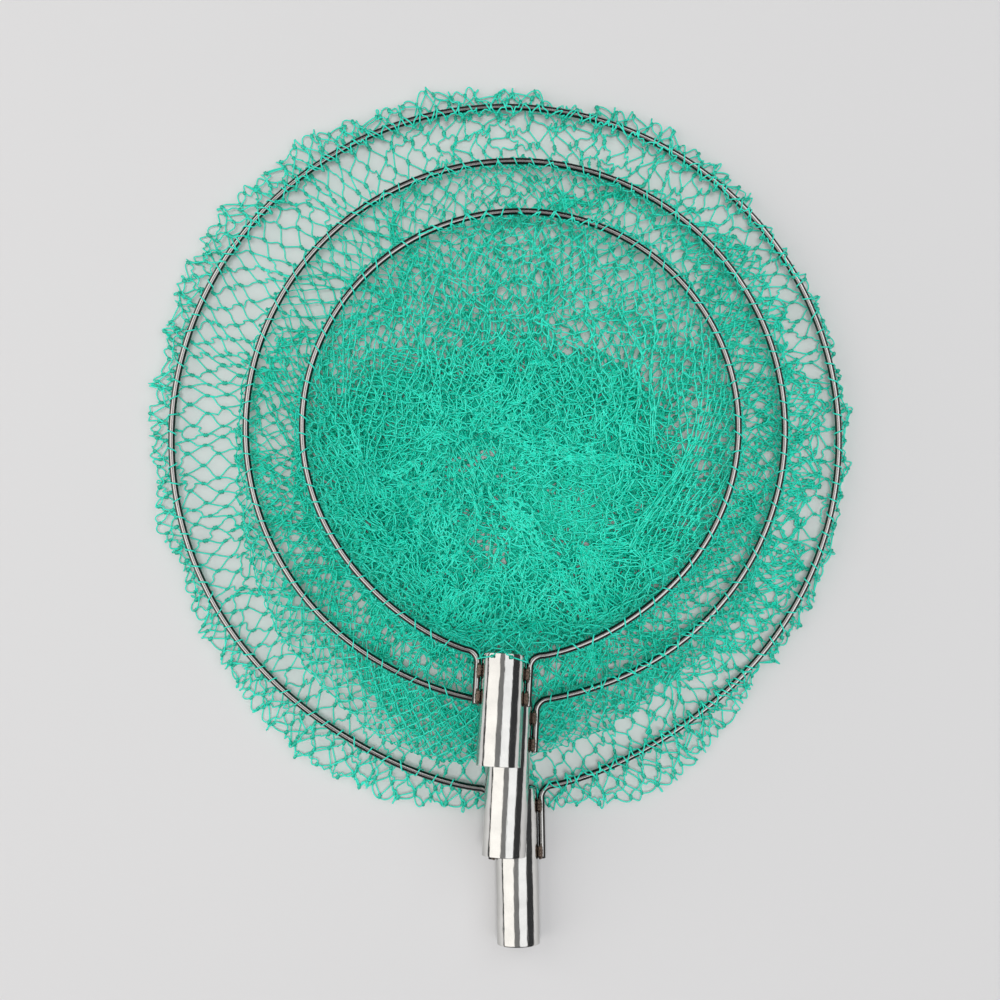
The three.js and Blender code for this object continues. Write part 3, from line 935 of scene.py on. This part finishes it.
def add_range(nodes, links, level, span, values, way="LINEAR"):
    """A value that runs between two as a level crosses a span."""
    ranged = nodes.new("ShaderNodeMapRange")
    ranged.interpolation_type = way
    ranged.inputs["From Min"].default_value, ranged.inputs["From Max"].default_value = span
    ranged.inputs["To Min"].default_value, ranged.inputs["To Max"].default_value = values
    links.new(level, ranged.inputs["Value"])
    return ranged.outputs["Result"]


def add_bump(nodes, links, height, bump_values, shader):
    bump = nodes.new("ShaderNodeBump")
    bump.inputs["Strength"].default_value, bump.inputs["Distance"].default_value = bump_values
    links.new(height, bump.inputs["Height"])
    links.new(bump.outputs["Normal"], shader.inputs["Normal"])


def steel_material(name, look):
    """Worked steel, scratched across. Painted side shade is (share, from, to): how dark the colour is painted
    away from its upper side, standing in for the dim room that the polished sides mirror, and the upward
    slopes between which it changes."""
    material, nodes, links, shader, place = new_material(name)
    shader.inputs["Metallic"].default_value = 1.0
    patches = add_noise(nodes, links, place, look["grain"], STEEL_DETAIL)
    darker = [channel * STEEL_SHADE for channel in look["colour"]]
    colour = add_shade(nodes, links, patches, STEEL_SPAN, [darker, look["colour"]])
    if "painted_side_shade" in look:
        share, *slopes = look["painted_side_shade"]
        # Painted shade: the colour darkens where the surface faces away from up.
        parts = nodes.new("ShaderNodeSeparateXYZ")
        links.new(nodes.new("ShaderNodeNewGeometry").outputs["Normal"], parts.inputs["Vector"])
        side_shade_level = add_range(nodes, links, parts.outputs["Z"], slopes, (share, 1.0))
        side_shaded = nodes.new("ShaderNodeVectorMath")
        side_shaded.operation = "SCALE"
        links.new(colour, side_shaded.inputs[0])
        links.new(side_shade_level, side_shaded.inputs["Scale"])
        colour = side_shaded.outputs["Vector"]
    links.new(colour, shader.inputs["Base Color"])
    gloss = [share * look["roughness"] for share in STEEL_GLOSS]
    links.new(add_range(nodes, links, patches, (0.0, 1.0), gloss), shader.inputs["Roughness"])
    stretch = nodes.new("ShaderNodeMapping")
    stretch.inputs["Scale"].default_value = SCRATCH_STRETCH
    links.new(place, stretch.inputs["Vector"])
    scratches = add_noise(nodes, links, stretch.outputs["Vector"], look["grain"] * SCRATCH_FINENESS)
    add_bump(nodes, links, scratches, look["bump"], shader)
    return material


def twine_material(name, colours):
    material, nodes, links, shader, place = new_material(name)
    patches = add_noise(nodes, links, place, TWINE_GRAIN, TWINE_DETAIL)
    links.new(add_shade(nodes, links, patches, TWINE_SPAN, colours), shader.inputs["Base Color"])
    shader.inputs["Roughness"].default_value = TWINE_ROUGHNESS
    shader.inputs["Specular IOR Level"].default_value = TWINE_SHEEN
    add_bump(nodes, links, add_noise(nodes, links, place, STRAND_GRAIN), STRAND_BUMP, shader)
    return material


def floor_material():
    """Plain pale paper that fades into the backdrop further out."""
    material, nodes, links, shader, place = new_material("pale_floor")
    patches = add_noise(nodes, links, place, FLOOR_GRAIN, FLOOR_DETAIL)
    links.new(add_shade(nodes, links, patches, (0.0, 1.0), FLOOR_COLOURS), shader.inputs["Base Color"])
    shader.inputs["Roughness"].default_value = FLOOR_ROUGHNESS
    away = nodes.new("ShaderNodeVectorMath")
    away.operation = "LENGTH"
    links.new(place, away.inputs[0])
    gone = add_range(nodes, links, away.outputs["Value"], FLOOR_FADE, (0.0, 1.0), "SMOOTHSTEP")
    clear = nodes.new("ShaderNodeBsdfTransparent")
    either = nodes.new("ShaderNodeMixShader")
    links.new(gone, either.inputs["Fac"])
    links.new(shader.outputs["BSDF"], either.inputs[1])
    links.new(clear.outputs["BSDF"], either.inputs[2])
    links.new(either.outputs["Shader"], nodes["Material Output"].inputs["Surface"])
    return material


# ---- camera, floor and light ----
# A panel has a name, a lean to the left of overhead and a spread in degrees, watts and a colour.

CAMERA_PLACE = (-3.03, -35.32, 1200.0)
CAMERA_SENSOR = 36.0
CAMERA_LENS = 72.0
CAMERA_REACH = 20.0

FLOOR_SIZE = 4.0
FLOOR_DROP = 0.0002

PANELS = [
    ("left_panel", 50.0, 62.0, 27.0, (1.0, 0.975, 0.94)),
    ("right_panel", -28.0, 42.0, 15.5, (0.98, 0.99, 1.0)),
    ("middle_panel", 6.0, 22.0, 1.3, (1.0, 0.99, 0.98)),
]
PANEL_AWAY = 2.15
PANEL_LENGTH = 3.0

HIGH_LIGHT_POWER = 1.25
HIGH_LIGHT_SPREAD = 14.0
HIGH_LIGHT_COLOUR = (1.0, 0.99, 0.98)
HIGH_LIGHT_PLACE = (0, 0, 2)

ROOM_COLOUR = (0.93, 0.95, 1.0)
ROOM_STRENGTH = 0.16
MIRRORED_STRENGTH = 0.04
BACKDROP_COLOUR = (0.74, 0.74, 0.75)


def build_stage():
    scene = bpy.context.scene
    scene.view_settings.view_transform = "Standard"
    camera = bpy.data.objects.new("camera", bpy.data.cameras.new("camera"))
    scene.collection.objects.link(camera)
    camera.location = [along * MM for along in CAMERA_PLACE]
    camera.data.sensor_width = CAMERA_SENSOR
    camera.data.lens = CAMERA_LENS
    camera.data.clip_end = CAMERA_REACH
    scene.camera = camera

    bpy.ops.mesh.primitive_plane_add(size=FLOOR_SIZE, location=(0, 0, -FLOOR_DROP))
    floor = bpy.context.object
    floor.name = "floor"
    floor.data.materials.append(floor_material())

    for panel in PANELS:
        build_panel(*panel)
    high_light()
    build_room(scene)


def build_panel(name, lean, spread, power, colour):
    """A long panel over the work, as wide as its spread is from there."""
    lean, spread = math.radians(lean), math.radians(spread)
    data = bpy.data.lights.new(name, "AREA")
    data.shape = "RECTANGLE"
    data.size, data.size_y = PANEL_LENGTH, 2 * PANEL_AWAY * math.tan(spread / 2)
    data.energy = power
    data.color = colour
    panel = bpy.data.objects.new(name, data)
    bpy.context.scene.collection.objects.link(panel)
    panel.location = (-PANEL_AWAY * math.sin(lean), 0, PANEL_AWAY * math.cos(lean))
    panel.rotation_mode = "QUATERNION"
    panel.rotation_quaternion = (-panel.location).to_track_quat("-Z", "Y")


def high_light():
    """Even soft light from straight above, which the steel doesn't mirror."""
    data = bpy.data.lights.new("high_light", "SUN")
    data.energy = HIGH_LIGHT_POWER
    data.angle = math.radians(HIGH_LIGHT_SPREAD)
    data.color = HIGH_LIGHT_COLOUR
    light = bpy.data.objects.new("high_light", data)
    bpy.context.scene.collection.objects.link(light)
    light.location = HIGH_LIGHT_PLACE
    light.visible_glossy = False


def build_room(scene):
    """A soft room, dimmer where the steel mirrors it, with a pale backdrop where nothing hides it."""
    world = bpy.data.worlds.new("room")
    scene.world = world
    world.use_nodes = True
    nodes, links = world.node_tree.nodes, world.node_tree.links

    def shine(background, colour, strength):
        background.inputs["Color"].default_value = (*colour, 1)
        background.inputs["Strength"].default_value = strength
        return background.outputs["Background"]

    room = shine(nodes["Background"], ROOM_COLOUR, ROOM_STRENGTH)
    mirrored = shine(nodes.new("ShaderNodeBackground"), ROOM_COLOUR, MIRRORED_STRENGTH)
    backdrop = shine(nodes.new("ShaderNodeBackground"), BACKDROP_COLOUR, 1.0)
    ray = nodes.new("ShaderNodeLightPath").outputs
    mix, seen = nodes.new("ShaderNodeMixShader"), nodes.new("ShaderNodeMixShader")
    links.new(ray["Is Glossy Ray"], mix.inputs["Fac"])
    links.new(room, mix.inputs[1])
    links.new(mirrored, mix.inputs[2])
    links.new(ray["Is Camera Ray"], seen.inputs["Fac"])
    links.new(mix.outputs["Shader"], seen.inputs[1])
    links.new(backdrop, seen.inputs[2])
    links.new(seen.outputs["Shader"], nodes["World Output"].inputs["Surface"])


# ---- the whole ----

place_heads()
build_stage()
bright_steel = steel_material("bright_steel", BRIGHT_STEEL)
# The wires' steel: the sockets' steel with painted shade, darker overall and on its sides.
dark_steel = steel_material("dark_steel", DARK_STEEL)
weld_metal = steel_material("weld_metal", WELD_METAL)
green_twine = twine_material("green_twine", TWINE_COLOURS)
green_knots = twine_material("green_knots", KNOT_COLOURS)
below = None
for head in HEADS:
    build_hoop(head, dark_steel)
    build_socket(head, bright_steel)
    build_welds(head, weld_metal)
    nets = build_net(head, (green_twine, green_knots))
    if below is None:
        for net in nets:
            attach(net, head["name"] + "_head")
    else:
        hang(nets)
    below = head
